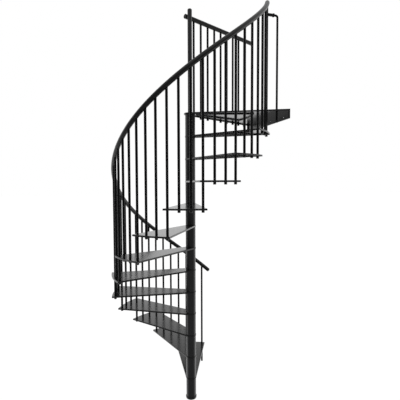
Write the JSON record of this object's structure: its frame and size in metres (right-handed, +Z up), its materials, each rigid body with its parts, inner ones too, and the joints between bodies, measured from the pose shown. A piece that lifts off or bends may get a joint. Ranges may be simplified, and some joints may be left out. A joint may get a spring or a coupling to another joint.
{
  "type": "spiral staircase",
  "caption": "Spiral staircase of folded steel treads and spacers on a centre tube, with round balusters, a helical handrail and a landing with its own guard rail.",
  "frame": {"origin": "centre of the foot's flat underside, on the pole's axis, at floor level", "axes": "+Z up along the pole, +X out through the middle of the landing to the upper floor, the flight climbs counter-clockwise seen from above"},
  "size_m": [1.6805, 1.5719, 3.948],
  "materials": {
    "dark_steel": "satin",
    "tread_steel": "satin",
    "black_plastic": "satin"
  },
  "bodies": {
    "root": {"floor_foot": "dark_steel", "centre_tube": "dark_steel", "pole_cap": "black_plastic", "pole_spacers": "dark_steel", "tread_01": "tread_steel", "tread_02": "tread_steel", "tread_03": "tread_steel", "tread_04": "tread_steel", "tread_05": "tread_steel", "tread_06": "tread_steel", "tread_07": "tread_steel", "tread_08": "tread_steel", "tread_09": "tread_steel", "tread_10": "tread_steel", "tread_11": "tread_steel", "tread_12": "tread_steel", "landing_plate": "tread_steel", "landing_fascia": "dark_steel", "landing_ribs": "dark_steel", "start_baluster": "dark_steel", "balusters_01": "dark_steel", "balusters_02": "dark_steel", "balusters_03": "dark_steel", "balusters_04": "dark_steel", "balusters_05": "dark_steel", "balusters_06": "dark_steel", "balusters_07": "dark_steel", "balusters_08": "dark_steel", "balusters_09": "dark_steel", "balusters_10": "dark_steel", "balusters_11": "dark_steel", "balusters_12": "dark_steel", "baluster_caps": "black_plastic", "handrail": "black_plastic", "handrail_ends": "black_plastic", "landing_rail": "black_plastic", "landing_balusters": "dark_steel", "landing_baluster_caps": "black_plastic", "end_post": "dark_steel", "end_post_rail": "black_plastic", "end_post_cap": "black_plastic"}
  },
  "joints": []
}
